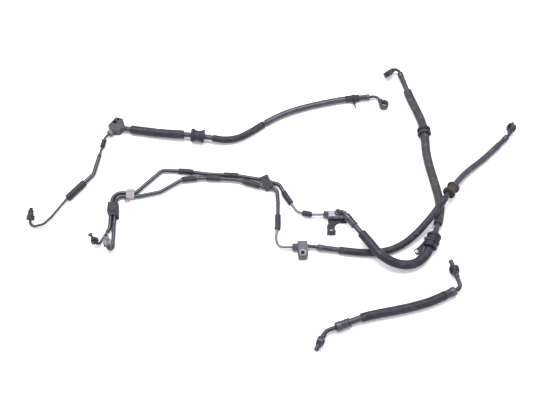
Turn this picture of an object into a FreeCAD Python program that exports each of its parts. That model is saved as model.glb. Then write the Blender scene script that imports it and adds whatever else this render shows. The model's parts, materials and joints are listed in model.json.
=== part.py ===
"""A motorcycle brake hose and pipe set laid out flat: three separate lines of steel pipe and hose.

The upper line runs from a flare nut through a joint block to a hose with a banjo eye. The twin line
has two coated steel pipes clipped side by side, each ending in a block that a long hose leaves. The short
line is one hose with a banjo eye at each end. Millimetres, +Z up, the origin on the floor in the middle.
"""

import FreeCAD
import Part

import math
import os

V = FreeCAD.Vector
UP = V(0, 0, 1)

# ---------------------------------------------------------------- driving dimensions
PIPE_R = 2.4            # steel brake pipe, 4.8 outside
PIPE_BORE_R = 1.6
COVER_R = 3.6           # plastic coating on the twin pipes
UPPER_COVER_R = 4.0     # thicker coating on the upper pipe
PIPE_SLEEVE_R = 5.3     # rubber chafing sleeve on a coated pipe
HOSE_R = 5.0            # brake hose, 10 outside
SHORT_HOSE_R = 5.7      # the short line's hose is thicker
HOSE_BORE_R = 1.7
SLEEVE_GAP = 0.12       # radial gap between a hose or pipe and what is pushed over it
RUNNING_GAP = 0.06      # radial gap under a nut that turns or slides
FLARE_R = 3.9
FLARE_LENGTH = 3.2
NUT_ACROSS = 11.5       # flare nuts, across the flats
THREAD_R = 5.0          # their M10 thread
THREAD_INTO_BLOCK = 5.0
EYE_R = 9.2             # banjo eye
EYE_BORE_R = 5.1
EYE_WIDTH = 10.5
STEM_R = 4.8            # boss that joins the eye to its neck
BOLT_HOLE_R = 3.4       # clearance for an M6 bolt
PLATE = 2.5             # sheet metal of the bracket
FLOOR_GAP = 0.3         # how far flat undersides stand above the floor
LAYOUT_CENTRE = V(20.1, -0.2, 0.2)


def at(x, y, z):
    """A place in the layout, moved so that the middle of the layout is the origin."""
    return V(x, y, z) - LAYOUT_CENTRE


def places(rows):
    return [at(*row) for row in rows]


# ---------------------------------------------------------------- routes of the pipes and hoses
UPPER_PIPE = places([
    (-425.8, -25.3, 22.3), (-428, -58, 6.8), (-404, -51, 6.8), (-391, -36, 6.8), (-368, 0, 6.8),
    (-322, 55, 6.8), (-306, 136, 8.4), (-291.5, 153, 8.4),
])
UPPER_PIPE_BENDS = [8, 16, 22, 30, 14, 8]

FIRST_PIPE = places([
    (-313.5, -83, 29), (-301.5, -95, 6.5), (-283.5, -58, 5.5), (-283.5, 15.5, 5.5), (-241, 15.5, 5.5),
    (-195, 64, 5.5), (-150, 62, 5.5), (-109, 56, 5.5), (-53, 52.5, 5.5), (-12, 44.5, 5.5),
    (24, 34, 5.6), (35, 10, 5.6), (56, -25, 6), (82, -32, 8.5), (117, -32, 8.5),
])
FIRST_PIPE_BENDS = [7, 14, 17, 12, 12, 60, 90, 90, 90, 13, 30, 14, 30]

SECOND_PIPE = places([
    (-285.5, -84, 31.5), (-281, -106, 10.5), (-275, -98, 6), (-276, -53, 5.5), (-276, 8, 5.5),
    (-236, 8, 5.5), (-196, 17, 6), (-156, 43.5, 7), (-109, 47, 7.6), (-53, 42.5, 7.6),
    (-8, 27.5, 7.2), (19, 23.5, 6), (21, -5, 5.6), (20.5, -55, 5.6), (17, -76, 5.8), (20, -98, 7.5),
    (60, -98, 7.5),
])
SECOND_PIPE_BENDS = [6, 6, 60, 9.5, 30, 25, 25, 60, 90, 60, 10, 60, 30, 14, 12]

UPPER_HOSE = places([
    (-259, 154, 8.8), (-231, 149.5, 8.8), (-198, 144.5, 9.4), (-166, 141, 11.4), (-136, 137.5, 13.8),
    (-108, 133, 13), (-80, 129, 9.2), (-53, 134.5, 7.2), (-27, 151, 6.9), (3, 174, 6.9), (38, 194, 6.9),
    (76, 207.5, 6.9), (114, 217.5, 6.9), (150, 225.5, 7.1), (184, 229, 7.4),
])

FIRST_HOSE = places([
    (158.5, -61, 20.4), (171, -79, 21.6), (183, -97.5, 24.8), (196, -117.5, 24.8), (212, -130, 21.8),
    (230, -136.5, 17.6), (248, -137, 13.6), (264.5, -132, 11), (278, -122, 10.4), (288, -108, 12),
    (295.5, -91.5, 13.9), (304, -70, 14.2), (312, -45, 11.6), (317, -20, 9), (316, 5, 8.8),
    (311, 34, 8.8), (305, 66, 9), (300, 98, 10.8), (300, 130, 13.5), (298.5, 160, 13.4), (292, 188, 10.6),
    (283.5, 214, 8.8), (275.5, 240, 8.8), (269, 264, 9.2),
])

SECOND_HOSE = places([
    (117, -102, 7.6), (141, -105.5, 7.4), (168, -109, 7.2), (197, -109, 7.2), (223, -103.5, 7.2),
    (246, -92, 8), (267, -75.5, 12.5), (286, -57, 19.5), (304, -36.5, 25.4), (325.5, -5, 25.4),
    (342, 18.5, 19.5), (357.5, 41.5, 12.6), (376, 62, 8), (399, 81, 6.6), (419.5, 99.5, 6.8),
    (438.5, 118.5, 8),
])

SHORT_HOSE = places([
    (310, -193.5, 9), (288, -204.5, 8.9), (257, -214, 8.9), (221, -222.5, 8.9), (187, -229, 8.9),
    (164, -235, 8.9), (143, -243.5, 9),
])


# ---------------------------------------------------------------- geometry helpers
class Route:
    """Straight runs joined by tangent arcs. Places on it are named by their distance from its start.

    Without given bend radii, each arc's radius is 0.45 of the shorter run beside it over the tangent of
    half the turn, which is a soft hose's curve. A steel pipe has given ones.
    """

    def __init__(self, points, bends=None):
        self.pieces = []
        self.bends = []
        start = points[0]
        for i in range(1, len(points) - 1):
            corner = points[i]
            back = points[i - 1] - corner
            ahead = points[i + 1] - corner
            half_turn = (math.pi - back.getAngle(ahead)) / 2
            bend = bends[i - 1] if bends else 0.45 * min(back.Length, ahead.Length) / math.tan(half_turn)
            back.normalize()
            ahead.normalize()
            reach = bend * math.tan(half_turn)
            begin = corner + back * reach
            finish = corner + ahead * reach
            centre = corner + (back + ahead).normalize() * (bend / math.cos(half_turn))
            self.add_run(start, begin)
            self.pieces.append(("arc", begin, -back, 2 * half_turn * bend, centre))
            self.bends.append(bend)
            start = finish
        self.add_run(start, points[-1])
        self.length = sum(piece[3] for piece in self.pieces)

    def add_run(self, start, end):
        span = end - start
        self.pieces.append(("run", start, span.normalize(), (end - start).Length, None))

    @staticmethod
    def along(piece, distance):
        """The place and the direction a distance along one run or arc."""
        kind, start, ahead, _, centre = piece
        if kind == "run":
            return start + ahead * distance, ahead
        outward = start - centre
        bend = outward.Length
        outward.normalize()
        angle = distance / bend
        place = centre + outward * (bend * math.cos(angle)) + ahead * (bend * math.sin(angle))
        return place, ahead * math.cos(angle) - outward * math.sin(angle)

    def where(self, distance):
        """The place and the direction a distance along the whole route."""
        for piece in self.pieces:
            if distance <= piece[3] + 1e-6:
                break
            distance -= piece[3]
        return self.along(piece, distance)

    def nearest(self, x, y):
        """The distance along the route of its nearest place to a layout x, y."""
        goal = at(x, y, 0)
        steps = [step * 0.5 for step in range(int(self.length * 2) + 1)]

        def gap(distance):
            place = self.where(distance)[0]
            return math.hypot(place.x - goal.x, place.y - goal.y)

        return min(steps, key=gap)

    def wire(self, begin, finish):
        edges = []
        passed = 0.0
        for piece in self.pieces:
            low = max(begin - passed, 0.0)
            high = min(finish - passed, piece[3])
            passed += piece[3]
            if high - low < 1e-3:
                continue
            first = self.along(piece, low)[0]
            last = self.along(piece, high)[0]
            if piece[0] == "run":
                edges.append(Part.LineSegment(first, last).toShape())
            else:
                halfway = self.along(piece, (low + high) / 2)[0]
                edges.append(Part.Arc(first, halfway, last).toShape())
        return Part.Wire(edges)

    def rod(self, begin, finish, radius):
        """A solid round rod along a stretch of the route."""
        place, ahead = self.where(begin)
        disc = Part.Face(Part.Wire(Part.makeCircle(radius, place, ahead)))
        return self.wire(begin, finish).makePipe(disc)

    def tube(self, begin, finish, radius, bore):
        """A round tube along a stretch of the route."""
        return self.rod(begin, finish, radius).cut(self.rod(begin, finish, bore))

    def rings(self, begin, widths_and_radii, bore):
        """Coaxial rings one after another along the route, as one solid."""
        finish = begin
        bodies = []
        for width, radius in widths_and_radii:
            bodies.append(self.rod(finish, finish + width, radius))
            finish += width
        whole = bodies[0].multiFuse(bodies[1:]).removeSplitter()
        return whole.cut(self.rod(begin, finish, bore))


def stand(shape, place, axis):
    """Moves a shape built up the Z axis to a place, with its Z axis along the given axis."""
    shape.Placement = FreeCAD.Placement(place, FreeCAD.Rotation(UP, axis))
    return shape


def lathe(outline):
    """A solid turned about Z from an outline of (radius, height) corners."""
    corners = [V(radius, 0, height) for radius, height in outline]
    face = Part.Face(Part.makePolygon(corners + corners[:1]))
    return face.revolve(V(0, 0, 0), UP, 360)


def block(x, y, z):
    """A box between two layout limits in each direction."""
    corner = at(x[0], y[0], z[0])
    return Part.makeBox(x[1] - x[0], y[1] - y[0], z[1] - z[0], corner)


def slab(corners, low, high):
    """A flat plate between two heights, with straight sides through layout corners."""
    outline = [at(x, y, low) for x, y in corners]
    return Part.Face(Part.makePolygon(outline + outline[:1])).extrude(V(0, 0, high - low))


def post(x, y, low, high, radius):
    return Part.makeCylinder(radius, high - low, at(x, y, low))


def upright_edges(shape):
    """The straight vertical edges of a block."""
    return [e for e in shape.Edges if len(e.Vertexes) == 2
            and abs(e.Vertexes[0].Z - e.Vertexes[1].Z) > 2
            and math.hypot(e.Vertexes[0].X - e.Vertexes[1].X, e.Vertexes[0].Y - e.Vertexes[1].Y) < 0.01]


def flare_nut(thread_length, hex_length, bore, across=NUT_ACROSS, taper=0):
    """A tube nut up Z: its thread, a taper if it has one, then its hexagon with turned corners."""
    corner_r = across / 2 / math.cos(math.pi / 6)
    thread_end = thread_length - taper
    top = thread_length + hex_length
    turns = [i * math.pi / 3 for i in range(6)]
    corners = [V(corner_r * math.cos(turn), corner_r * math.sin(turn), thread_length) for turn in turns]
    prism = Part.Face(Part.makePolygon(corners + corners[:1])).extrude(V(0, 0, hex_length))
    inner, outer = corner_r - 0.9, corner_r + 0.1
    turned = lathe([(0, thread_length), (inner, thread_length), (outer, thread_length + 0.9),
                    (outer, top - 0.9), (inner, top), (0, top)])
    taper_r = THREAD_R + taper / 4
    thread = lathe([(0, 0), (THREAD_R - 0.8, 0), (THREAD_R, 0.8), (THREAD_R, thread_end),
                    (taper_r, thread_length), (0, thread_length)])
    nut = prism.common(turned).fuse(thread)
    return nut.cut(Part.makeCylinder(bore, top + 2, V(0, 0, -1)))


def flared_pipe(route, flare_r=FLARE_R):
    """A steel pipe with the mushroom of its flare at the start of its route."""
    place, ahead = route.where(0)
    head = lathe([(0, 0), (flare_r - 0.6, 0), (flare_r, 0.6), (flare_r, 1.6), (PIPE_R, FLARE_LENGTH),
                  (0, FLARE_LENGTH)])
    whole = route.rod(0, route.length, PIPE_R).fuse(stand(head, place, ahead))
    return whole.cut(route.rod(0, route.length, PIPE_BORE_R))


def ferrule(length, radius):
    """A crimped hose ferrule up Z: a lip at the hose's mouth, two rings, a collar and a shoulder."""
    groove = radius - 1.2
    ring = radius - 0.4
    slope = 0.6
    outline = [(HOSE_BORE_R, 0), (ring, 0), (radius, 0.4), (radius, 0.07 * length),
               (groove, 0.07 * length + slope)]
    for begin, finish in ((0.18, 0.28), (0.38, 0.47)):
        outline += [(groove, begin * length), (ring, begin * length + slope), (ring, finish * length),
                    (groove, finish * length + slope)]
    outline += [(groove, 0.56 * length), (radius, 0.56 * length + slope), (radius, 0.93 * length),
                (0.72 * radius, length), (HOSE_BORE_R, length)]
    return lathe(outline)


class HoseEnd:
    """The crimped ferrule at one end of a hose and the line that leaves it."""

    def __init__(self, route, distance, length, radius):
        place, ahead = route.where(distance)
        self.axis = -ahead if distance == 0 else ahead
        self.tip = place + self.axis * length
        self.ferrule = stand(ferrule(length, radius), place, self.axis)


def banjo_eye(end, corner_reach, centre, axis_hint, neck_r, neck_bend, stem_reach, peg_r=0, peg_length=0):
    """A banjo eye on its bent neck. The peg on its far side stops it from turning on the caliper."""
    corner = end.tip + end.axis * corner_reach
    stem = (corner - centre).normalize()
    hint = V(*axis_hint)
    axis = (hint - stem * hint.dot(stem)).normalize()
    half = EYE_WIDTH / 2
    ring = lathe([(0, -half), (EYE_R - 0.8, -half), (EYE_R, 0.8 - half), (EYE_R, half - 0.8),
                  (EYE_R - 0.8, half), (0, half)])
    ring = stand(ring, centre, axis)
    boss = Part.makeCylinder(STEM_R, EYE_R + stem_reach - 3, centre + stem * 3, stem)
    joint = centre + stem * (EYE_R + stem_reach)
    neck = Route([end.tip, corner, joint], [neck_bend])
    whole = ring.multiFuse([boss, neck.rod(0, neck.length, neck_r)])
    if peg_r:
        peg = lathe([(0, 0), (peg_r, 0), (peg_r, EYE_R + peg_length - 1), (peg_r - 1, EYE_R + peg_length),
                     (0, EYE_R + peg_length)])
        whole = whole.fuse(stand(peg, centre, -stem))
    whole = whole.cut(Part.makeCylinder(EYE_BORE_R, EYE_WIDTH + 2, centre - axis * (half + 1), axis))
    way = Route([end.tip, corner, centre], [neck_bend])
    return whole.cut(way.rod(0, way.length, PIPE_BORE_R)), axis


# ---------------------------------------------------------------- the upper line
def upper_line(pipe, hose):
    nodes = {"upper_pipe": flared_pipe(pipe)}
    nut_start = FLARE_LENGTH + 0.3
    place, ahead = pipe.where(nut_start)
    nodes["upper_flare_nut"] = stand(flare_nut(11, 8.5, PIPE_R + RUNNING_GAP, 13.5, 5), place, ahead)
    long_sleeve = pipe.nearest(-366, 4), pipe.nearest(-337.5, 36)
    nodes["upper_pipe_long_sleeve"] = pipe.tube(*long_sleeve, 6.5, PIPE_R + SLEEVE_GAP)
    nodes["upper_pipe_cover"] = pipe.tube(long_sleeve[1] + 0.3, pipe.nearest(-313, 97), UPPER_COVER_R,
                                          PIPE_R + SLEEVE_GAP)
    nodes["upper_pipe_short_sleeve"] = pipe.tube(pipe.nearest(-310, 114), pipe.nearest(-307, 130), 4.6,
                                                 PIPE_R + SLEEVE_GAP)
    place, ahead = pipe.where(pipe.length)
    nodes["upper_block_nut"] = stand(flare_nut(THREAD_INTO_BLOCK, 8, PIPE_R + SLEEVE_GAP), place, -ahead)

    ferrule_r = 5.8
    start = HoseEnd(hose, 0, 21, ferrule_r)
    body = slab([(-302.4, 158), (-288.6, 177.8), (-275, 174.5), (-270.3, 161.6), (-278.9, 146.5),
                 (-292.2, 146.5)], FLOOR_GAP, 16)
    body = body.makeChamfer(1.2, upright_edges(body))
    body = body.cut(post(-288.9, 166, -1, 20, BOLT_HOLE_R))
    body = body.cut(post(-283.5, 172.5, 6, 20, 2.2))
    threaded = stand(Part.makeCylinder(THREAD_R, THREAD_INTO_BLOCK + 8), place, -ahead)
    nut_seat = stand(Part.makeCylinder(7, 8), place - ahead * THREAD_INTO_BLOCK, -ahead)
    mouth = stand(Part.makeCylinder(ferrule_r, 24), hose.where(0)[0], start.axis)
    nodes["upper_joint_block"] = body.cut(threaded).cut(nut_seat).cut(mouth)
    nodes["upper_block_ferrule"] = start.ferrule

    nodes["upper_hose"] = hose.tube(0, hose.length, HOSE_R, HOSE_BORE_R)
    bore = HOSE_R + SLEEVE_GAP
    nodes["upper_hose_sleeve_1"] = hose.tube(1, hose.nearest(-157, 140), 8.2, bore)
    nodes["upper_grommet"] = hose.rings(hose.nearest(-142, 138),
                                        [(5, 12.8), (4.5, 10.4), (5, 9.8), (4.5, 10.4), (5, 12.8)], bore)
    nodes["upper_hose_sleeve_2"] = hose.tube(hose.nearest(-102, 132), hose.nearest(-5, 167), 6.6, bore)
    nodes["upper_hose_sleeve_3"] = hose.tube(hose.nearest(-1, 171), hose.nearest(153, 226), 6.0, bore)
    end = HoseEnd(hose, hose.length, 17, 5.8)
    nodes["upper_eye_ferrule"] = end.ferrule
    centre = at(227.3, 212.9, 6.6)
    nodes["upper_eye"], axis = banjo_eye(end, 13, centre, (0, 0, 1), 2.8, 12, 4)
    return nodes, {"upper_eye": (centre, axis)}


# ---------------------------------------------------------------- the twin line's pipes and blocks
def twin_pipes(first, second):
    nodes = {"first_pipe": flared_pipe(first, 4.8), "second_pipe": flared_pipe(second)}
    place, ahead = first.where(9.4)
    nodes["first_flare_nut"] = stand(flare_nut(3.5, 7, PIPE_R + RUNNING_GAP, 13), place, ahead)
    thread, hexagon = 6, 13
    nut_start = FLARE_LENGTH + 1
    place, ahead = second.where(nut_start)
    nut = flare_nut(thread, hexagon, PIPE_R + RUNNING_GAP, 12.5)
    nodes["second_flare_nut"] = stand(nut, place, ahead)
    nut_end = nut_start + thread + hexagon
    bore = PIPE_R + SLEEVE_GAP
    nodes["first_pipe_cover"] = first.tube(first.nearest(-287, -66), first.nearest(40, 2), COVER_R, bore)
    nodes["second_pipe_cover"] = second.tube(nut_end + 0.5, second.nearest(20.5, -46), COVER_R, bore)
    sleeves = [
        (first, (-164, 62.5), (-137, 60)), (second, (-157, 43), (-130, 45.5)),
        (second, (-112, 47), (-86, 45.5)), (first, (-79, 54), (-53, 52.5)),
        (second, (-43, 39), (-12.5, 28.8)), (first, (32, 17), (45, -7)),
        (first, (66, -28), (82, -32)), (second, (20.7, -32), (20.5, -61)),
    ]
    for number, (route, begin, finish) in enumerate(sleeves, 1):
        nodes[f"pipe_sleeve_{number}"] = route.tube(route.nearest(*begin), route.nearest(*finish),
                                                    PIPE_SLEEVE_R, COVER_R + SLEEVE_GAP)
    return nodes


def pipe_clips(first, second):
    covers = first.rod(0, first.length, COVER_R).fuse(second.rod(0, second.length, COVER_R))

    rubber = slab([(-290.5, -6), (-273, -6), (-270.3, -10), (-269.6, -18.5), (-269, -26.3),
                   (-268.3, -37.4), (-271.2, -38.5), (-274.5, -34), (-279, -33), (-283, -35), (-287, -33),
                   (-290.5, -26)], FLOOR_GAP, 10.6)
    flap = slab([(-289.5, -9), (-278.3, -9), (-275.6, -16.2), (-276.1, -25.4), (-281.6, -27.5),
                 (-288, -23)], 10, 13.2)
    ridge = slab([(-275.1, -13), (-270.6, -22), (-268.8, -37.1), (-271, -38.2), (-275.5, -25.4),
                  (-278, -17)], 10, 12.4)
    rubber = rubber.multiFuse([flap, ridge]).removeSplitter()

    band = block((-258, -243), (3, 21), (0.6, 10.8))
    band = band.makeChamfer(1.0, upright_edges(band))
    for rib_y in (7.2, 14.6):
        band = band.fuse(block((-257, -244), (rib_y, rib_y + 2.4), (10, 12)))
    band = band.fuse(block((-261, -252), (-1.5, 4), (FLOOR_GAP, 3)))

    clamp = block((-8, 8), (-12.5, 12.5), (1.2, 12.4))
    clamp = clamp.makeChamfer(1.2, upright_edges(clamp))
    for rib_x in (-5.5, 2.5):
        clamp = clamp.fuse(block((rib_x, rib_x + 3), (-13.5, 13), (10, 14.6)))
    clamp = clamp.fuse(block((-8.5, 8.5), (8.5, 14), (1.2, 14)))
    clamp.rotate(at(0, 0, 0), UP, 27)
    clamp.translate(V(0.5, 35, 0))

    clips = {"rubber_clip": rubber, "band_clip": band, "crossing_clamp": clamp}
    return {name: clip.cut(covers) for name, clip in clips.items()}


def first_block(pipe, hose):
    place, ahead = pipe.where(pipe.length)
    nut = flare_nut(THREAD_INTO_BLOCK, 8.5, PIPE_R + SLEEVE_GAP)
    nodes = {"first_block_nut": stand(nut, place, -ahead)}
    end = HoseEnd(hose, 0, 27, 7.2)
    elbow = Route([end.tip, end.tip + end.axis * 7, at(129.5, -31.5, 20.4), at(129.5, -31.5, 11)], [6, 5])
    collar = flare_nut(4, 4.5, 3)
    collar.translate(at(129.5, -31.5, 10.2))
    fitting = elbow.rod(0, elbow.length, 4.0).fuse(collar)
    nodes["first_block_end"] = fitting.cut(elbow.rod(0, elbow.length, PIPE_BORE_R))
    nodes["first_block_ferrule"] = end.ferrule

    body = block((112, 146), (-38.5, -26), (FLOOR_GAP + PLATE + 0.1, 14))
    body = body.makeChamfer(0.8, body.Edges)
    body = body.cut(stand(Part.makeCylinder(THREAD_R, THREAD_INTO_BLOCK + 8), place, -ahead))
    nodes["first_block"] = body.cut(post(129.5, -31.5, 10.1, 20, THREAD_R + 0.02))

    low, high = FLOOR_GAP, FLOOR_GAP + PLATE
    plate = slab([(112, -27), (146, -27), (148.5, -36), (147.5, -44), (143, -46), (134.6, -46.5),
                  (124.3, -58), (124.3, -70), (109.7, -70), (109.7, -51), (112, -48)], low, high)
    plate = plate.cut(post(134.6, -56.9, -1, 9, 11))
    lip = block((109.2, 124.8), (-70, -67.4), (low, 13.5))
    bracket = plate.fuse(lip).removeSplitter()
    nodes["first_bracket"] = bracket.cut(post(117.2, -61.5, -1, 12, BOLT_HOLE_R))
    return nodes


def second_block(pipe, hose):
    place, ahead = pipe.where(pipe.length)
    nut = flare_nut(THREAD_INTO_BLOCK, 9, PIPE_R + SLEEVE_GAP)
    nodes = {"second_block_nut": stand(nut, place, -ahead)}
    end = HoseEnd(hose, 0, 27, 5.8)
    stem = Part.makeCylinder(3.2, 20, end.tip, end.axis)
    way = Part.makeCylinder(HOSE_BORE_R, 22, end.tip, end.axis)
    nodes["second_block_ferrule"] = end.ferrule.fuse(stem).cut(way)
    body = slab([(55, -88), (73.3, -88), (73.8, -117.5), (70.5, -120.3), (56.5, -120.3)], FLOOR_GAP, 14)
    body = body.makeChamfer(1.0, body.Edges)
    hole_top = lathe([(0, 0), (BOLT_HOLE_R, 0), (BOLT_HOLE_R + 2.2, 2.2), (0, 2.2)])
    hole_top.translate(at(64.5, -111, 12))
    body = body.cut(post(64.5, -111, -1, 16, BOLT_HOLE_R)).cut(hole_top)
    body = body.cut(stand(Part.makeCylinder(THREAD_R, THREAD_INTO_BLOCK + 8), place, -ahead))
    nodes["second_block"] = body.cut(stem)
    return nodes


# ---------------------------------------------------------------- the twin line's hoses
def first_hose_set(hose):
    bore = HOSE_R + SLEEVE_GAP
    nodes = {"first_hose": hose.tube(0, hose.length, HOSE_R, HOSE_BORE_R)}
    lower_grommet = hose.nearest(292.5, -102)
    nodes["first_hose_lower_sleeve"] = hose.tube(hose.nearest(169.5, -77), lower_grommet - 3, 8.2, bore)
    nodes["first_lower_grommet"] = hose.rings(
        lower_grommet, [(3.5, 12.4), (5.5, 11), (4, 13.2), (8, 11), (4, 13.2), (3, 10)], bore)

    band_start = lower_grommet + 13.8
    band_end = band_start + 6.4
    band_bore = 11 + SLEEVE_GAP
    band = hose.tube(band_start, band_end, 12.6, band_bore)
    arm = slab([(294, -79), (290.5, -85), (273, -113), (266, -112), (263, -104), (270, -98.5), (283, -85),
                (287, -77)], 5.2, 7.2)
    clear_r = 13.6
    clear_start, clear_end = lower_grommet - 6, lower_grommet + 34
    arm = arm.cut(hose.rod(clear_start, clear_end, clear_r))
    wing = slab([(285, -76), (300, -83.5), (297.5, -88.5), (282.5, -81)], 5.2, 7.2)
    wing = wing.cut(hose.rod(band_start - 5, band_end + 5, band_bore))
    wing = wing.cut(hose.rod(clear_start, band_start - 0.8, clear_r))
    wing = wing.cut(hose.rod(band_end + 0.8, clear_end, clear_r))
    strap = band.multiFuse([arm, wing]).removeSplitter()
    nodes["first_grommet_strap"] = strap.cut(post(268.5, -106, -1, 20, BOLT_HOLE_R))

    upper_sleeve = hose.nearest(314, -56), hose.nearest(274, 244)
    nodes["first_hose_upper_sleeve"] = hose.tube(*upper_sleeve, 8.1, bore)
    nodes["first_upper_grommet"] = hose.rings(
        hose.nearest(299.5, 139), [(4.5, 13), (4, 10.2), (4.5, 13)], 8.1 + SLEEVE_GAP)
    end = HoseEnd(hose, hose.length, 24, 5.8)
    nodes["first_eye_ferrule"] = end.ferrule
    centre = at(239, 283, 13)
    nodes["first_eye"], axis = banjo_eye(end, 15, centre, (-0.42, 0.785, 0.453), 3.0, 8, 5.5)
    return nodes, {"first_eye": (centre, axis)}


def second_hose_set(hose):
    bore = HOSE_R + SLEEVE_GAP
    nodes = {"second_hose": hose.tube(0, hose.length, HOSE_R, HOSE_BORE_R)}
    nodes["second_hose_sleeve"] = hose.tube(hose.nearest(129, -104), hose.nearest(324, -7), 6.6, bore)
    grommet = hose.nearest(330, 5)
    nodes["second_grommet"] = hose.rings(grommet, [(4, 12), (4, 8.6), (5, 7.4), (4, 8.6), (4, 12)], bore)
    nodes["second_hose_sheath"] = hose.tube(grommet + 21.5, hose.length - 0.3, 6.0, bore)
    end = HoseEnd(hose, hose.length, 27, 5.7)
    nodes["second_eye_ferrule"] = end.ferrule
    centre = at(466, 154, 14)
    nodes["second_eye"], axis = banjo_eye(end, 5, centre, (-0.604, 0.454, 0.654), 3.2, 8, 2, 2.3, 3)
    return nodes, {"second_eye": (centre, axis)}


# ---------------------------------------------------------------- the short line
def short_line(hose):
    nodes = {"short_hose": hose.tube(0, hose.length, SHORT_HOSE_R, HOSE_BORE_R)}
    nodes["short_hose_sleeve"] = hose.tube(1, hose.nearest(163, -235.4), 8.0, SHORT_HOSE_R + SLEEVE_GAP)
    upper = HoseEnd(hose, 0, 22, 8.2)
    lower = HoseEnd(hose, hose.length, 27, 8.6)
    nodes["short_upper_ferrule"] = upper.ferrule
    nodes["short_lower_ferrule"] = lower.ferrule
    upper_centre = at(330.5, -145.5, 12.4)
    lower_centre = at(91.6, -280, 11)
    nodes["short_upper_eye"], upper_axis = banjo_eye(
        upper, 12, upper_centre, (-0.811, -0.483, 0.347), 3.9, 10, 5.5, 4.2, 10)
    nodes["short_lower_eye"], lower_axis = banjo_eye(
        lower, 18, lower_centre, (0.883, -0.448, 0.136), 3.9, 14, 5.5, 4.2, 10)
    return nodes, {"short_upper_eye": (upper_centre, upper_axis),
                   "short_lower_eye": (lower_centre, lower_axis)}


def main():
    upper_pipe = Route(UPPER_PIPE, UPPER_PIPE_BENDS)
    first_pipe = Route(FIRST_PIPE, FIRST_PIPE_BENDS)
    second_pipe = Route(SECOND_PIPE, SECOND_PIPE_BENDS)
    hoses = {"upper": Route(UPPER_HOSE), "first": Route(FIRST_HOSE), "second": Route(SECOND_HOSE),
             "short": Route(SHORT_HOSE)}
    nodes = {}
    eyes = {}
    for made, made_eyes in (upper_line(upper_pipe, hoses["upper"]), first_hose_set(hoses["first"]),
                            second_hose_set(hoses["second"]), short_line(hoses["short"])):
        nodes.update(made)
        eyes.update(made_eyes)
    nodes.update(twin_pipes(first_pipe, second_pipe))
    nodes.update(pipe_clips(first_pipe, second_pipe))
    nodes.update(first_block(first_pipe, hoses["first"]))
    nodes.update(second_block(second_pipe, hoses["second"]))

    os.makedirs("parts", exist_ok=True)
    whole = FreeCAD.BoundBox()
    for name, shape in nodes.items():
        print(name, "solids", len(shape.Solids), "valid", shape.isValid(), "volume", round(shape.Volume))
        whole.add(shape.BoundBox)
        shape.exportStep(os.path.join("parts", name + ".step"))
    print("nodes", len(nodes), "box", whole)
    for name, route in hoses.items():
        radius = SHORT_HOSE_R if name == "short" else HOSE_R
        section = math.pi * (radius ** 2 - HOSE_BORE_R ** 2)
        print(name, "hose length", round(route.length, 1), "volume over section times length",
              round(nodes[name + "_hose"].Volume / (section * route.length), 4),
              "bend radii", [round(bend) for bend in route.bends])
    for name, (centre, axis) in eyes.items():
        print(name, "centre", [round(c, 3) for c in centre], "axis", [round(c, 5) for c in axis])


main()
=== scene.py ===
import json
import math

import bpy
from mathutils import Matrix, Vector


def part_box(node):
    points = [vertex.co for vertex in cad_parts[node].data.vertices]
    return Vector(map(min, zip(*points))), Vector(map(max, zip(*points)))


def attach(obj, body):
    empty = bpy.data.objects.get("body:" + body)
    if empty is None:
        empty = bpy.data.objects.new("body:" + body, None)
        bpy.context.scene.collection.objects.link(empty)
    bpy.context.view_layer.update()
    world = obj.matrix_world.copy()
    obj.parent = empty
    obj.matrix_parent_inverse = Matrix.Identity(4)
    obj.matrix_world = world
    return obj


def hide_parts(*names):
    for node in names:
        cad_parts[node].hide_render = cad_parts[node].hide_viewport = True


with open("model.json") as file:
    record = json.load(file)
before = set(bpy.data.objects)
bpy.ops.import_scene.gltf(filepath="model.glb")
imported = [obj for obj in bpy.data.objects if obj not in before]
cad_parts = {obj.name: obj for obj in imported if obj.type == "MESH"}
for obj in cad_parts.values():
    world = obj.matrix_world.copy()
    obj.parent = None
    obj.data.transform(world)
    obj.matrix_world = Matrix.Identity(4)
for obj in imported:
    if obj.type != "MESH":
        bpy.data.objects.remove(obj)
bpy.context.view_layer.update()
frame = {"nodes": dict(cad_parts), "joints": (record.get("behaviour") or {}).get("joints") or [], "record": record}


# ---------------------------------------------------------------- the studio
# A camera above the near edge of a plain white table, looking down at 60 degrees. One large soft box hangs
# over the table and an even white room fills the shadows.

AIM = Vector((-0.0201, -0.0010, 0.0078))
CAMERA_DISTANCE = 1.9
CAMERA_ELEVATION = math.radians(60)
TABLE_SIDE = 14
TABLE_DROP = 0.0004

camera = bpy.data.objects.new("camera", bpy.data.cameras.new("camera"))
bpy.context.scene.collection.objects.link(camera)
bpy.context.scene.camera = camera
camera.data.lens = 70
camera.data.sensor_width = 36
towards_camera = Vector((0, -math.cos(CAMERA_ELEVATION), math.sin(CAMERA_ELEVATION)))
camera.location = AIM + CAMERA_DISTANCE * towards_camera
camera.rotation_euler = (math.pi / 2 - CAMERA_ELEVATION, 0, 0)
bpy.context.scene.view_settings.view_transform = "Standard"

bpy.ops.mesh.primitive_plane_add(size=TABLE_SIDE, location=(0, 0, -TABLE_DROP))
table = bpy.context.object
table.name = "table"
table_white = bpy.data.materials.new("table_white")
table_white.use_nodes = True
table_shader = table_white.node_tree.nodes["Principled BSDF"]
table_shader.inputs["Base Color"].default_value = (0.93, 0.93, 0.935, 1)
table_shader.inputs["Roughness"].default_value = 0.9
table.data.materials.append(table_white)

room = bpy.data.worlds.new("white_room")
bpy.context.scene.world = room
room.use_nodes = True
room_light = room.node_tree.nodes["Background"]
room_light.inputs["Color"].default_value = (0.97, 0.98, 1.0, 1)
room_light.inputs["Strength"].default_value = 1.12

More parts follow.
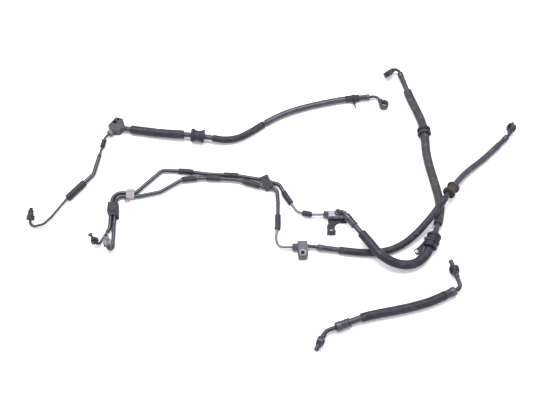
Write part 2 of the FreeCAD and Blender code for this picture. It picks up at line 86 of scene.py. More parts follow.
soft_box = bpy.data.lights.new("soft_box", "AREA")
soft_box.shape = "RECTANGLE"
soft_box.size = 2.2
soft_box.size_y = 1.1
soft_box.energy = 62
lamp = bpy.data.objects.new("soft_box", soft_box)
lamp.location = (-0.2, 0.5, 2.1)
lamp.rotation_euler = (math.radians(-12), math.radians(-5), 0)
bpy.context.scene.collection.objects.link(lamp)


# ---------------------------------------------------------------- the four hoses
# Reinforced rubber brake hose, extruded round and left loose on the table. Each runs from one crimped ferrule
# to another in a single smooth curve, held off the table by its sleeves and grommets and where it crosses
# another hose.

class Number:
    """A shader socket that carries a number, so that a pattern is written as a sum."""

    def __init__(self, finish, socket):
        self.finish = finish
        self.socket = socket

    def joined(self, operation, first, second):
        return self.finish.node("ShaderNodeMath", {"operation": operation}, {0: first, 1: second})

    def __add__(self, other):
        return self.joined("ADD", self, other)

    def __sub__(self, other):
        return self.joined("SUBTRACT", self, other)

    def __rsub__(self, other):
        return self.joined("SUBTRACT", other, self)

    def __mul__(self, other):
        return self.joined("MULTIPLY", self, other)

    __radd__ = __add__
    __rmul__ = __mul__


class Finish:
    """One material, with the patterns that feed its shader."""

    def __init__(self, name, roughness, metallic=0.0, specular=0.5):
        self.material = bpy.data.materials.new(name)
        self.material.use_nodes = True
        self.tree = self.material.node_tree
        self.shader = self.tree.nodes["Principled BSDF"]
        self.shader.inputs["Roughness"].default_value = roughness
        self.shader.inputs["Metallic"].default_value = metallic
        self.shader.inputs["Specular IOR Level"].default_value = specular
        self.here = self.node("ShaderNodeTexCoord", {}, {}, "Object")

    def node(self, kind, settings, sockets, output=0):
        """Adds a node, sets it up, feeds its sockets and gives back one of its outputs."""
        node = self.tree.nodes.new(kind)
        for name, value in settings.items():
            setattr(node, name, value)
        for socket, value in sockets.items():
            self.feed(node.inputs[socket], value)
        return Number(self, node.outputs[output])

    def feed(self, socket, value):
        if isinstance(value, Number):
            self.tree.links.new(value.socket, socket)
        else:
            socket.default_value = value

    def grain(self, size, detail=3.0, stretch=(1, 1, 1), place=None):
        """Cloudy noise of about that grain size in metres, longer along an axis whose stretch is over 1."""
        scale = tuple(1 / (size * amount) for amount in stretch)
        place = self.node("ShaderNodeMapping", {}, {"Vector": place or self.here, "Scale": scale})
        return self.node("ShaderNodeTexNoise", {}, {"Vector": place, "Scale": 1.0, "Detail": detail})

    def step(self, value, low, high):
        """0 below low and 1 above high, smooth between them."""
        return self.node("ShaderNodeMapRange", {"interpolation_type": "SMOOTHSTEP"},
                         {"Value": value, "From Min": low, "From Max": high})

    def blend(self, mask, first, second):
        """The first colour where the mask is 0 and the second where it is 1."""
        colours = [colour if isinstance(colour, Number) else (*colour, 1) for colour in (first, second)]
        return self.node("ShaderNodeMix", {"data_type": "RGBA"}, {0: mask, 6: colours[0], 7: colours[1]}, 2)

    def worn_edges(self):
        """1 on outside edges, broken up by noise."""
        edge = self.node("ShaderNodeNewGeometry", {}, {}, "Pointiness")
        return self.step(edge + (self.grain(0.002) - 0.5) * 0.06, 0.52, 0.57)

    def upward(self):
        """1 on faces that look up, where dust settles."""
        normal = self.node("ShaderNodeNewGeometry", {}, {}, "Normal")
        return self.step(self.node("ShaderNodeSeparateXYZ", {}, {0: normal}, "Z"), 0.2, 0.9)

    def set(self, **sockets):
        """Feeds the shader's own sockets, and its Normal from a height in metres."""
        height = sockets.pop("height", None)
        for name, value in sockets.items():
            self.feed(self.shader.inputs[name.replace("_", " ").title()], value)
        if height is not None:
            bump = self.node("ShaderNodeBump", {}, {"Height": height, "Distance": 1.0, "Strength": 1.0})
            self.feed(self.shader.inputs["Normal"], bump)
        return self.material


def rubber_finish(name, dark, light, roughness, dust=(0.095, 0.090, 0.094), dust_amount=0.5,
                  specular=0.25, grain=0.0006):
    """Moulded or extruded rubber: cloudy tone, a fine skin, dust where it faces up, and a few pale scuffs."""
    finish = Finish(name, roughness, specular=specular)
    cloud = finish.grain(0.018, 4)
    fine = finish.grain(grain, 2)
    patches = finish.step(finish.grain(0.009, 5), 0.52, 0.78) * finish.upward()
    specks = finish.step(finish.grain(0.0011, 2), 0.66, 0.74)
    tone = finish.blend(finish.step(cloud, 0.3, 0.7), dark, light)
    dusty = finish.blend((patches + specks * 0.35) * dust_amount, tone, dust)
    rough = (cloud - 0.5) * 0.25 + patches * 0.2 + roughness
    return finish.set(base_color=dusty, roughness=rough, height=fine * 0.00005 + cloud * 0.00012)


hose_rubber = rubber_finish("hose_rubber", (0.018, 0.017, 0.031), (0.030, 0.030, 0.050), 0.36,
                            dust_amount=0.3, specular=0.45)


bodies = frame["record"]["behaviour"]["bodies"]
body_of = {node: body for body, nodes in bodies.items() for node in nodes}
slot_of = {row["node"]: row["material_slot"] for row in frame["record"]["subparts"]}


def hose(name, node, points, radius):
    """One hose: a smooth curve through its control points, which carry its radius."""
    curve = bpy.data.curves.new(name, "CURVE")
    curve.dimensions = "3D"
    curve.resolution_u = 20
    spline = curve.splines.new("NURBS")
    spline.points.add(len(points) - 1)
    for control, point in zip(spline.points, points):
        control.co = (*point, 1)
        control.radius = radius
    spline.order_u = 3
    spline.use_endpoint_u = True
    curve.use_radius = False
    curve.bevel_depth = 1.0
    curve.bevel_resolution = 7
    curve.use_fill_caps = True
    curve.materials.append(hose_rubber)
    piece = bpy.data.objects.new(name, curve)
    bpy.context.scene.collection.objects.link(piece)
    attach(piece, body_of[node])
    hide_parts(node)
    return piece


HOSE_RADIUS = 0.005
SHORT_HOSE_RADIUS = 0.0057

upper_hose = hose("upper_hose_rubber", "upper_hose", [
    (-0.2791, 0.1542, 0.0086), (-0.2511, 0.1497, 0.0086), (-0.2181, 0.1447, 0.0092),
    (-0.1861, 0.1412, 0.0112), (-0.1561, 0.1377, 0.0136), (-0.1281, 0.1332, 0.0128),
    (-0.1001, 0.1292, 0.0090), (-0.0731, 0.1347, 0.0070), (-0.0471, 0.1512, 0.0067),
    (-0.0171, 0.1742, 0.0067), (0.0179, 0.1942, 0.0067), (0.0559, 0.2077, 0.0067),
    (0.0939, 0.2177, 0.0067), (0.1299, 0.2257, 0.0069), (0.1639, 0.2292, 0.0072),
], HOSE_RADIUS)

first_hose = hose("first_hose_rubber", "first_hose", [
    (0.1384, -0.0608, 0.0202), (0.1509, -0.0788, 0.0214), (0.1629, -0.0973, 0.0246),
    (0.1759, -0.1173, 0.0246), (0.1919, -0.1298, 0.0216), (0.2099, -0.1363, 0.0174),
    (0.2279, -0.1368, 0.0134), (0.2444, -0.1318, 0.0108), (0.2579, -0.1218, 0.0102),
    (0.2679, -0.1078, 0.0118), (0.2754, -0.0913, 0.0137), (0.2839, -0.0698, 0.0140),
    (0.2919, -0.0448, 0.0114), (0.2969, -0.0198, 0.0088), (0.2959, 0.0052, 0.0086),
    (0.2909, 0.0342, 0.0086), (0.2849, 0.0662, 0.0088), (0.2799, 0.0982, 0.0106),
    (0.2799, 0.1302, 0.0133), (0.2784, 0.1602, 0.0132), (0.2719, 0.1882, 0.0104),
    (0.2634, 0.2142, 0.0086), (0.2554, 0.2402, 0.0086), (0.2489, 0.2642, 0.0090),
], HOSE_RADIUS)

second_hose = hose("second_hose_rubber", "second_hose", [
    (0.0969, -0.1018, 0.0074), (0.1209, -0.1053, 0.0072), (0.1479, -0.1088, 0.0070),
    (0.1769, -0.1088, 0.0070), (0.2029, -0.1033, 0.0070), (0.2259, -0.0918, 0.0078),
    (0.2469, -0.0753, 0.0123), (0.2659, -0.0568, 0.0193), (0.2839, -0.0363, 0.0252),
    (0.3054, -0.0048, 0.0252), (0.3219, 0.0187, 0.0193), (0.3374, 0.0417, 0.0124),
    (0.3559, 0.0622, 0.0078), (0.3789, 0.0812, 0.0064), (0.3994, 0.0997, 0.0066),
    (0.4184, 0.1187, 0.0078),
], HOSE_RADIUS)

short_hose = hose("short_hose_rubber", "short_hose", [
    (0.2899, -0.1933, 0.0088), (0.2679, -0.2043, 0.0087), (0.2369, -0.2138, 0.0087),
    (0.2009, -0.2223, 0.0087), (0.1669, -0.2288, 0.0087), (0.1439, -0.2348, 0.0087),
    (0.1229, -0.2433, 0.0088),
], SHORT_HOSE_RADIUS)


# ---------------------------------------------------------------- rubber sleeves on the hoses
# Extruded rubber tube, cut square and pushed over a hose where it would chafe. The walls are a little uneven
# and carry dust on top. The thin sheaths next to two of the eyes are glossier.

class Line:
    """The middle line of a hose, read from its curve, and how far along it each of its points is."""

    def __init__(self, hose):
        self.hose = hose
        bare = bpy.data.objects.new("middle_line", hose.data.copy())
        bare.data.bevel_depth = 0
        self.points = [vertex.co.copy() for vertex in bpy.data.meshes.new_from_object(bare).vertices]
        bpy.data.curves.remove(bare.data)
        self.reached = [0.0]
        for back, ahead in zip(self.points, self.points[1:]):
            self.reached.append(self.reached[-1] + (ahead - back).length)
        self.length = self.reached[-1]

    def nearest(self, x, y):
        """How far along the line its nearest point to a place on the table is."""
        gaps = [(point.xy - Vector((x, y))).length for point in self.points]
        return self.reached[gaps.index(min(gaps))]

    def tip(self, last):
        """An end of the line and the direction that leads out of it."""
        end, before = self.points[-1:-3:-1] if last else self.points[:2]
        return end, (end - before).normalized()

    def across(self, distance):
        """The matrix that puts X along the line at a distance on it, with Z as near upright as it goes."""
        index = self.reached.index(min(self.reached[:-1], key=lambda far: abs(far - distance)))
        ahead = (self.points[index + 1] - self.points[index]).normalized()
        side = Vector((0, 0, 1)).cross(ahead).normalized()
        turn = Matrix((ahead, side, ahead.cross(side))).transposed().to_4x4()
        return Matrix.Translation(self.points[index]) @ turn


def applied(piece):
    """Applies all of a piece's modifiers in order."""
    bpy.ops.object.select_all(action="DESELECT")
    piece.select_set(True)
    bpy.context.view_layer.objects.active = piece
    for modifier in list(piece.modifiers):
        bpy.ops.object.modifier_apply(modifier=modifier.name)


def turned(name, outline, edge_round, sides=48):
    """A ring about X: a circle drawn on through an outline's (distance, radius) steps and closed."""
    bpy.ops.object.select_all(action="DESELECT")
    distance, radius = outline[0]
    bpy.ops.mesh.primitive_circle_add(vertices=sides, radius=radius, location=(distance, 0, 0),
                                      rotation=(0, math.pi / 2, 0))
    piece = bpy.context.object
    piece.name = name
    bpy.ops.object.transform_apply()
    bpy.ops.object.mode_set(mode="EDIT")
    for next_distance, next_radius in outline[1:] + outline[:1]:
        step = (next_distance - distance, 0, 0)
        bpy.ops.mesh.extrude_region_move(TRANSFORM_OT_translate={"value": step})
        growth = next_radius / radius
        bpy.ops.transform.resize(value=(1, growth, growth), center_override=(next_distance, 0, 0))
        distance, radius = next_distance, next_radius
    bpy.ops.mesh.select_all(action="SELECT")
    bpy.ops.mesh.remove_doubles(threshold=0.00002)
    bpy.ops.mesh.normals_make_consistent(inside=False)
    bpy.ops.object.mode_set(mode="OBJECT")
    bevel = piece.modifiers.new("edges", "BEVEL")
    bevel.width = edge_round
    bevel.segments = 2
    bevel.limit_method = "ANGLE"
    bevel.angle_limit = math.radians(30)
    applied(piece)
    return piece


RING_SPACING = 0.004
SMOOTH_BELOW = math.radians(40)


def ring_cuts(piece, spacing):
    """Halves the lengthwise edges of a piece until none is longer than the spacing."""
    mesh = piece.data
    while True:
        places = [vertex.co for vertex in mesh.vertices]
        long_edges = [edge.index for edge in mesh.edges
                      if (places[edge.vertices[0]] - places[edge.vertices[1]]).length > spacing]
        if not long_edges:
            return
        bpy.ops.object.mode_set(mode="EDIT")
        bpy.ops.mesh.select_mode(type="EDGE")
        bpy.ops.mesh.select_all(action="DESELECT")
        bpy.ops.object.mode_set(mode="OBJECT")
        for index in long_edges:
            mesh.edges[index].select = True
        bpy.ops.object.mode_set(mode="EDIT")
        bpy.ops.mesh.subdivide(number_cuts=1)
        bpy.ops.mesh.select_mode(type="VERT")
        bpy.ops.object.mode_set(mode="OBJECT")


rubber_waves = bpy.data.textures.new("rubber_waves", "CLOUDS")
rubber_waves.noise_scale = 0.014


def laid_along(piece, line, unevenness):
    """Bends a straight piece along a hose and makes its walls a little uneven."""
    ring_cuts(piece, RING_SPACING)
    bend = piece.modifiers.new("bend", "CURVE")
    bend.object = line.hose
    bend.deform_axis = "POS_X"
    waves = piece.modifiers.new("waves", "DISPLACE")
    waves.texture = rubber_waves
    waves.strength = unevenness
    applied(piece)
    bpy.ops.object.shade_smooth_by_angle(angle=SMOOTH_BELOW)


def fitted(piece, finish, *nodes):
    """Gives a piece its finish and puts it in the place of its parts, on the body that they ride."""
    piece.data.materials.clear()
    piece.data.materials.append(finish)
    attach(piece, body_of[nodes[0]])
    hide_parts(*nodes)
    return piece


upper_line = Line(upper_hose)
first_line = Line(first_hose)
second_line = Line(second_hose)
short_line = Line(short_hose)

SLEEVE_GAP = 0.00012
FIRST_UPPER_SLEEVE_RADIUS = 0.0081

sleeve_rubber = rubber_finish("sleeve_rubber", (0.014, 0.013, 0.023), (0.024, 0.022, 0.037), 0.5)
scuffed_rubber = rubber_finish("scuffed_rubber", (0.024, 0.022, 0.029), (0.040, 0.036, 0.044), 0.55,
                               dust=(0.13, 0.100, 0.085), dust_amount=0.7)
sheath_rubber = rubber_finish("sheath_rubber", (0.021, 0.020, 0.036), (0.034, 0.033, 0.056), 0.26,
                              dust_amount=0.25, specular=0.5)


def sleeve(node, line, begin, end, radius, rubber, hose_radius=HOSE_RADIUS):
    """A sleeve between two distances along a hose."""
    bore = hose_radius + SLEEVE_GAP
    outline = [(begin, bore), (begin, radius), (end, radius), (end, bore)]
    piece = turned(node + "_rubber", outline, 0.0005)
    laid_along(piece, line, 0.0004)
    return fitted(piece, rubber, node)


first_grommet_start = first_line.nearest(0.2724, -0.1018)
second_grommet_start = second_line.nearest(0.3099, 0.0052)

upper_sleeves = [
    sleeve("upper_hose_sleeve_1", upper_line, 0.001,
           upper_line.nearest(-0.1771, 0.1402), 0.0082, sleeve_rubber),
    sleeve("upper_hose_sleeve_2", upper_line, upper_line.nearest(-0.1221, 0.1322),
           upper_line.nearest(-0.0251, 0.1672), 0.0066, sleeve_rubber),
    sleeve("upper_hose_sleeve_3", upper_line, upper_line.nearest(-0.0211, 0.1712),
           upper_line.nearest(0.1329, 0.2262), 0.0060, sheath_rubber),
]
first_sleeves = [
    sleeve("first_hose_lower_sleeve", first_line, first_line.nearest(0.1494, -0.0768),
           first_grommet_start - 0.003, 0.0082, sleeve_rubber),
    sleeve("first_hose_upper_sleeve", first_line, first_line.nearest(0.2939, -0.0558),
           first_line.nearest(0.2539, 0.2442), FIRST_UPPER_SLEEVE_RADIUS, scuffed_rubber),
]
second_sleeves = [
    sleeve("second_hose_sleeve", second_line, second_line.nearest(0.1089, -0.1038),
           second_line.nearest(0.3039, -0.0068), 0.0066, sleeve_rubber),
    sleeve("second_hose_sheath", second_line, second_grommet_start + 0.0215,
           second_line.length - 0.0003, 0.0060, sheath_rubber),
]
short_sleeve = sleeve("short_hose_sleeve", short_line, 0.001,
                      short_line.nearest(0.1429, -0.2352), 0.0080, sleeve_rubber, SHORT_HOSE_RADIUS)


# ---------------------------------------------------------------- grommets
# Moulded rubber mounts that slide onto a hose and sit in a slot or a clamp of the frame. Each has two or more
# thick flanges with softly rounded edges and a waist between them.

def grommet(node, line, begin, widths_and_radii, rubber, bore=HOSE_RADIUS + SLEEVE_GAP):
    """A grommet from a distance along a hose, made of rings of different widths and radii."""
    outline = [(begin, bore)]
    for width, radius in widths_and_radii:
        outline += [(begin, radius), (begin + width, radius)]
        begin += width
    outline.append((begin, bore))
    piece = turned(node + "_moulded", outline, 0.0009)
    laid_along(piece, line, 0.0003)
    return fitted(piece, rubber, node)


brown_rubber = rubber_finish("brown_rubber", (0.036, 0.029, 0.032), (0.056, 0.044, 0.042), 0.62,
                             dust=(0.115, 0.082, 0.066), dust_amount=0.9)

upper_grommet = grommet("upper_grommet", upper_line, upper_line.nearest(-0.1621, 0.1382), [
    (0.005, 0.0128), (0.0045, 0.0104), (0.005, 0.0098), (0.0045, 0.0104), (0.005, 0.0128),
], sleeve_rubber)
first_lower_grommet = grommet("first_lower_grommet", first_line, first_grommet_start, [
    (0.0035, 0.0124), (0.0055, 0.0110), (0.004, 0.0132), (0.008, 0.0110), (0.004, 0.0132), (0.003, 0.0100),
], sleeve_rubber)
first_upper_grommet = grommet("first_upper_grommet", first_line, first_line.nearest(0.2794, 0.1392), [
    (0.0045, 0.0130), (0.004, 0.0102), (0.0045, 0.0130),
], sleeve_rubber, FIRST_UPPER_SLEEVE_RADIUS + SLEEVE_GAP)
second_grommet = grommet("second_grommet", second_line, second_grommet_start, [
    (0.004, 0.0120), (0.004, 0.0086), (0.005, 0.0074), (0.004, 0.0086), (0.004, 0.0120),
], brown_rubber)


# ---------------------------------------------------------------- crimped ferrules
# Steel cups pressed onto the hose ends, black zinc plated and worn to grey on their high spots. The press
# leaves two rings between the mouth and the plain collar.

def metal_finish(name, dark, light, worn, roughness, metallic, wear=0.6, edges=True, grime_amount=0.4,
                 specular=0.5, painted_highlight_ring=None):
    """Plated or bare metal: cloudy tone, grime in patches, hairline scratches and worn edges.

    The ring argument is a bolt hole's centre and the radius at which a highlight painted on its chamfered rim
    starts.
    """
    finish = Finish(name, roughness, metallic, specular)
    cloud = finish.grain(0.010, 4)
    tone = finish.blend(finish.step(cloud, 0.3, 0.7), dark, light)
    scratch = finish.step(finish.grain(0.0009, 3, (1, 9, 9)), 0.66, 0.72) * 0.5
    bare = scratch + finish.worn_edges() if edges else scratch
    tone = finish.blend(bare * wear, tone, worn)
    grime = finish.step(finish.grain(0.005, 5), 0.55, 0.75) * grime_amount
    tone = finish.blend(grime, tone, tuple(0.35 * value for value in dark))
    # Paints a highlight as a pale ring on the chamfered rim round a bolt hole.
    if painted_highlight_ring:
        centre, radius = painted_highlight_ring
        away = finish.node("ShaderNodeVectorMath", {"operation": "DISTANCE"},
                           {0: finish.here, 1: centre}, "Value")
        inside = finish.step(away, radius - 0.0002, radius + 0.0002)
        outside = finish.step(away, radius + 0.0009, radius + 0.0013)
        tone = finish.blend((inside - outside) * 0.9, tone, (0.50, 0.50, 0.54))
    rough = (cloud - 0.5) * 0.3 + grime * 0.3 + roughness
    return finish.set(base_color=tone, roughness=rough,
                      height=finish.grain(0.0007, 2) * 0.00003 - scratch * 0.00002)


ferrule_steel = metal_finish("ferrule_steel", (0.019, 0.019, 0.031), (0.037, 0.037, 0.058),
                             (0.19, 0.19, 0.22), 0.34, 0.35)
FERRULE_BORE = 0.0017


def stood(piece, place, ahead):
    """Stands a piece built from the origin along X on a place, pointing ahead."""
    turn = Vector((1, 0, 0)).rotation_difference(ahead).to_matrix().to_4x4()
    piece.matrix_world = Matrix.Translation(place) @ turn
    bpy.ops.object.transform_apply()
    bpy.ops.object.shade_smooth_by_angle(angle=SMOOTH_BELOW)


def ferrule(node, line, last, length, radius, stem=()):
    """A ferrule on an end of a hose, turned straight and then stood on the end."""
    groove = radius - 0.0012
    ring = radius - 0.0004
    slope = 0.0006
    outline = [(0, FERRULE_BORE), (0, ring), (0.0004, radius), (0.07 * length, radius),
               (0.07 * length + slope, groove)]
    for begin, end in ((0.18, 0.28), (0.38, 0.47)):
        outline += [(begin * length, groove), (begin * length + slope, ring), (end * length, ring),
                    (end * length + slope, groove)]
    outline += [(0.56 * length, groove), (0.56 * length + slope, radius), (0.93 * length, radius),
                (length, 0.72 * radius), *stem]
    outline.append((outline[-1][0], FERRULE_BORE))
    piece = turned(node + "_crimped", outline, 0.0002)
    stood(piece, *line.tip(last))
    return fitted(piece, ferrule_steel, node)


upper_block_ferrule = ferrule("upper_block_ferrule", upper_line, False, 0.021, 0.0058)
upper_eye_ferrule = ferrule("upper_eye_ferrule", upper_line, True, 0.017, 0.0058)
first_block_ferrule = ferrule("first_block_ferrule", first_line, False, 0.027, 0.0072)
first_eye_ferrule = ferrule("first_eye_ferrule", first_line, True, 0.024, 0.0058)
second_block_ferrule = ferrule("second_block_ferrule", second_line, False, 0.027, 0.0058,
                               [(0.027, 0.0032), (0.047, 0.0032)])
second_eye_ferrule = ferrule("second_eye_ferrule", second_line, True, 0.027, 0.0057)
short_upper_ferrule = ferrule("short_upper_ferrule", short_line, False, 0.022, 0.0082)
short_lower_ferrule = ferrule("short_lower_ferrule", short_line, True, 0.027, 0.0086)


# ---------------------------------------------------------------- banjo eyes
# Forged steel eyes, each brazed to a short bent neck and plated black. A bolt goes through the eye, and a peg
# on some of them stops the eye from turning. The ring's edges are worn bright.

def softened(node, ending, finish, voxel=0.00035, passes=3):
    """A forged, cast or moulded piece: the part's own solid with its sharp edges run round."""
    piece = bpy.data.objects.new(node + ending, frame["nodes"][node].data.copy())
    bpy.context.scene.collection.objects.link(piece)
    bpy.ops.object.select_all(action="DESELECT")
    piece.select_set(True)
    bpy.context.view_layer.objects.active = piece
    bpy.ops.object.mode_set(mode="EDIT")
    bpy.ops.mesh.select_all(action="SELECT")
    bpy.ops.mesh.remove_doubles(threshold=0.000002)
    bpy.ops.object.mode_set(mode="OBJECT")
    remesh = piece.modifiers.new("even_skin", "REMESH")
    remesh.mode = "VOXEL"
    remesh.voxel_size = voxel
    remesh.use_smooth_shade = True
    smooth = piece.modifiers.new("run_round", "SMOOTH")
    smooth.factor = 0.5
    smooth.iterations = passes
    applied(piece)
    return fitted(piece, finish, node)


eye_steel = metal_finish("eye_steel", (0.012, 0.012, 0.020), (0.029, 0.029, 0.045), (0.25, 0.25, 0.28),
                         0.32, 0.35, wear=0.7)
upper_eye = softened("upper_eye", "_forged", eye_steel)
first_eye = softened("first_eye", "_forged", eye_steel)
second_eye = softened("second_eye", "_forged", eye_steel)
short_upper_eye = softened("short_upper_eye", "_forged", eye_steel)
short_lower_eye = softened("short_lower_eye", "_forged", eye_steel)


# ---------------------------------------------------------------- joint blocks and their bracket
# The upper line's block is cast and painted black. The twin line's are machined from aluminium bar, one bare
# and scratched, one anodised grey with a highlight painted on the rim round its bolt hole. The first sits on a
# black plated steel bracket.

SECOND_HOLE_RIM = 0.0043
second_hole = (0.0444, -0.1108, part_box("second_block")[1][2])

black_paint = metal_finish("black_paint", (0.017, 0.017, 0.028), (0.031, 0.031, 0.047), (0.10, 0.10, 0.12),
                           0.46, 0.1, wear=0.5)
bare_aluminium = metal_finish("bare_aluminium", (0.17, 0.172, 0.20), (0.24, 0.243, 0.28),
                              (0.36, 0.36, 0.40), 0.36, 0.25, wear=0.8, grime_amount=0.25)
# The rim round its bolt hole carries a painted highlight.
grey_aluminium = metal_finish("grey_aluminium", (0.034, 0.035, 0.048), (0.060, 0.062, 0.081),
                              (0.26, 0.265, 0.29), 0.40, 0.2, wear=0.8, grime_amount=0.3, specular=0.4,
                              painted_highlight_ring=(second_hole, SECOND_HOLE_RIM))
black_steel = metal_finish("black_steel", (0.010, 0.010, 0.015), (0.020, 0.020, 0.029),
                           (0.10, 0.10, 0.12), 0.45, 0.05, specular=0.22)

softened("upper_joint_block", "_cast", black_paint, passes=4)
softened("first_block", "_machined", bare_aluminium, passes=1)
softened("second_block", "_machined", grey_aluminium, passes=1)
softened("first_block_end", "_brazed", ferrule_steel, passes=2)
softened("first_bracket", "_pressed", black_steel, 0.0004, 2)
grommet_strap = softened("first_grommet_strap", "_pressed", black_steel, 0.0004, 2)


# ---------------------------------------------------------------- steel pipes and their covers
# Drawn steel brake pipe under a glossy black coating, with matte rubber sleeves pushed over where pipes cross
# or rub. The right-hand ends, past the covers, are left bare and light grey.

BARE_FROM = -0.009
BARE_EDGE = 0.003


def painted(slot, finish):
    """Gives the parts of one slot their finish, where no finer piece stands for them."""
    for node, node_slot in slot_of.items():
        if node_slot == slot and not frame["nodes"][node].hide_render:
            for place in frame["nodes"][node].material_slots:
                place.material = finish


def pipe_steel():
    """Dark plated steel that is bare and lighter past the covers."""
    finish = Finish("pipe_steel", 0.3, 0.35)
    across = finish.node("ShaderNodeSeparateXYZ", {}, {0: finish.here}, "X")
    bare = finish.step(across + (finish.grain(0.006) - 0.5) * 0.006, BARE_FROM, BARE_FROM + BARE_EDGE)
    cloud = finish.step(finish.grain(0.008, 4), 0.3, 0.7)
    dark = finish.blend(cloud, (0.022, 0.022, 0.031), (0.040, 0.040, 0.053))
    light = finish.blend(cloud, (0.095, 0.098, 0.112), (0.145, 0.15, 0.168))
    specks = finish.step(finish.grain(0.0012, 2), 0.66, 0.74) * 0.4
    tone = finish.blend(specks, finish.blend(bare, dark, light), (0.070, 0.058, 0.052))
    return finish.set(base_color=tone, roughness=cloud * 0.15 + specks * 0.4 + 0.26,
                      height=finish.grain(0.0008, 2) * 0.00003)


pipe_coating = rubber_finish("pipe_coating", (0.013, 0.013, 0.023), (0.023, 0.023, 0.038), 0.20,
                             dust_amount=0.15, specular=0.5)
pipe_rubber = rubber_finish("pipe_rubber", (0.015, 0.015, 0.024), (0.024, 0.024, 0.038), 0.5,
                            dust_amount=0.35)
painted("bare_steel", pipe_steel())
painted("pipe_coating", pipe_coating)
painted("pipe_rubber", pipe_rubber)
painted("sleeve_rubber", sleeve_rubber)


# ---------------------------------------------------------------- tube nuts
# Hexagon nuts that run free on the pipe behind its flare, black or zinc plated. Each keeps the exact bore and
# hexagon that it turns with, and its thread is a row of ridges.

ZINC_FROM = 0.0212
ZINC_EDGE = 0.0016


def two_tone_zinc():
    """Bright zinc on the upper half of the nut that stands up from the table, and black below."""
    finish = Finish("two_tone_zinc", 0.3, 0.4)
    height = finish.node("ShaderNodeSeparateXYZ", {}, {0: finish.here}, "Z")
    bright = finish.step(height + (finish.grain(0.003) - 0.5) * 0.006, ZINC_FROM, ZINC_FROM + ZINC_EDGE)
    cloud = finish.step(finish.grain(0.004, 4), 0.3, 0.7)
    dark = finish.blend(cloud, (0.018, 0.018, 0.025), (0.036, 0.036, 0.046))
    zinc = finish.blend(cloud, (0.10, 0.096, 0.101), (0.27, 0.258, 0.265))
    return finish.set(base_color=finish.blend(bright, dark, zinc), roughness=cloud * 0.15 + 0.25,
                      height=finish.grain(0.0007, 2) * 0.00003)


dull_zinc = metal_finish("dull_zinc", (0.038, 0.038, 0.050), (0.066, 0.066, 0.082), (0.20, 0.20, 0.22),
                         0.36, 0.3, edges=False)
nut_black = metal_finish("nut_black", (0.014, 0.012, 0.017), (0.030, 0.025, 0.034), (0.12, 0.11, 0.12),
                         0.40, 0.1, edges=False, specular=0.35)
painted("dull_zinc", dull_zinc)
zinc = two_tone_zinc()
painted("bright_zinc", zinc)
painted("black_steel", nut_black)


def thread(name, nut, length, start, ahead, finish):
    """The ridges of a nut's M10 thread, which stand a little proud of its plain barrel."""
    pitch = 0.001
    inside = 0.0047
    root = 0.0050
    crest = 0.0052
    outline = [(pitch, inside)]
    for turn in range(1, int(length / pitch)):
        left = turn * pitch
        outline += [(left, root), (left + 0.35 * pitch, crest), (left + 0.55 * pitch, crest)]
    outline += [(left + pitch, root), (left + pitch, inside)]
    piece = turned(name, outline, 0.00003)
    stood(piece, start, ahead)
    piece.data.materials.clear()
    piece.data.materials.append(finish)
    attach(piece, body_of[nut])


joints = {joint["name"]: joint for joint in frame["joints"]}
FIRST_FLARE = Vector((-0.3336, -0.0828, 0.0288))
upper_axis = Vector(joints["upper_nut_spin"]["axis"])
first_axis = Vector(joints["first_nut_slide"]["axis"])
second_axis = Vector(joints["second_nut_spin"]["axis"])
upper_flare = Vector(joints["upper_nut_spin"]["pos_m"])
second_flare = Vector(joints["second_nut_spin"]["pos_m"])
thread("upper_nut_thread", "upper_flare_nut", 0.006, upper_flare - 0.0035 * upper_axis, -upper_axis,
       nut_black)
thread("first_nut_thread", "first_flare_nut", 0.0035, FIRST_FLARE - 0.0094 * first_axis, -first_axis,
       nut_black)
thread("second_nut_thread", "second_flare_nut", 0.006, second_flare - 0.0042 * second_axis, -second_axis,
       zinc)


# ---------------------------------------------------------------- tape and a cable tie on the upper hose
# Cloth tape wound by hand from the sheath to the ferrule, each turn lapping the last. A nylon tie is pulled
# tight round it, and its cut tail sticks out to one side.

def select_faces(piece, test):
    """Selects the faces of a piece that pass a test, in edit mode."""
    bpy.ops.mesh.select_mode(type="FACE")
    bpy.ops.mesh.select_all(action="DESELECT")
    bpy.ops.object.mode_set(mode="OBJECT")
    for face in piece.data.polygons:
        face.select = test(face)
    bpy.ops.object.mode_set(mode="EDIT")


LAP = 0.0044
TAPE_UNDER = 0.0064
TAPE_OVER = 0.0069
TIE_HALF_WIDTH = 0.0016
TIE_INSIDE = 0.0067
TIE_OUTSIDE = 0.0080

tape_start = upper_line.nearest(0.1329, 0.2262) + 0.0002
laps = int((upper_line.length - tape_start) / LAP)
outline = [(tape_start, HOSE_RADIUS + SLEEVE_GAP)]
for lap in range(laps):
    outline += [(tape_start + lap * LAP, TAPE_UNDER), (tape_start + (lap + 0.95) * LAP, TAPE_OVER)]
outline.append((tape_start + laps * LAP, HOSE_RADIUS + SLEEVE_GAP))
tape = turned("upper_hose_tape", outline, 0.0001)
laid_along(tape, upper_line, 0.0005)
tape.data.materials.append(rubber_finish("cloth_tape", (0.018, 0.017, 0.024), (0.034, 0.032, 0.042), 0.7,
                                         dust_amount=0.6, specular=0.2, grain=0.0004))
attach(tape, body_of["upper_hose"])

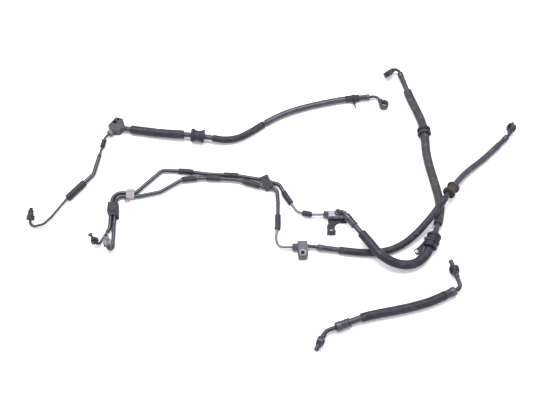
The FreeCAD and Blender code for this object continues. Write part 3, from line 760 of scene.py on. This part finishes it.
tie = turned("upper_hose_tie", [
    (-TIE_HALF_WIDTH, TIE_INSIDE), (-TIE_HALF_WIDTH, TIE_OUTSIDE),
    (TIE_HALF_WIDTH, TIE_OUTSIDE), (TIE_HALF_WIDTH, TIE_INSIDE),
], 0.0002)
bpy.ops.object.select_all(action="DESELECT")
bpy.ops.mesh.primitive_cube_add(size=1, location=(0, -0.0096, -0.0016), scale=(0.0052, 0.0046, 0.0046))
lock = bpy.context.object
bpy.ops.object.transform_apply()
bpy.ops.object.mode_set(mode="EDIT")
select_faces(lock, lambda face: face.normal.y < -0.9)
bpy.ops.mesh.inset(thickness=0.0013)
bpy.ops.mesh.extrude_region_move(TRANSFORM_OT_translate={"value": (0.0004, -0.0050, -0.0002)})
bpy.ops.mesh.extrude_region_move(TRANSFORM_OT_translate={"value": (0.0012, -0.0050, -0.0006)})
bpy.ops.transform.resize(value=(0.7, 0.7, 0.7))
bpy.ops.object.mode_set(mode="OBJECT")
bevel = lock.modifiers.new("edges", "BEVEL")
bevel.width = 0.0004
bevel.segments = 2
applied(lock)
tie.select_set(True)
bpy.context.view_layer.objects.active = tie
bpy.ops.object.join()
tie.matrix_world = upper_line.across(upper_line.nearest(0.1499, 0.2270))
bpy.ops.object.transform_apply()
bpy.ops.object.shade_smooth_by_angle(angle=SMOOTH_BELOW)
tie.data.materials.clear()
tie.data.materials.append(rubber_finish("black_nylon", (0.012, 0.012, 0.017), (0.022, 0.022, 0.029), 0.35,
                                        dust_amount=0.3))
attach(tie, body_of["upper_hose"])


# ---------------------------------------------------------------- clips on the twin pipes
# A moulded rubber clip with a flap, a dusty white plastic band and a ribbed black plastic clamp hold the two
# pipes side by side. All are snapped on by hand.

white_plastic = rubber_finish("white_plastic", (0.23, 0.205, 0.215), (0.30, 0.272, 0.283), 0.5,
                              dust=(0.12, 0.098, 0.095), dust_amount=0.5)
black_plastic = rubber_finish("black_plastic", (0.015, 0.015, 0.022), (0.027, 0.027, 0.036), 0.34,
                              dust_amount=0.3)
softened("rubber_clip", "_moulded", sleeve_rubber, 0.0004, 4)
softened("band_clip", "_moulded", white_plastic, 0.00035, 2)
softened("crossing_clamp", "_moulded", black_plastic, 0.00035, 2)
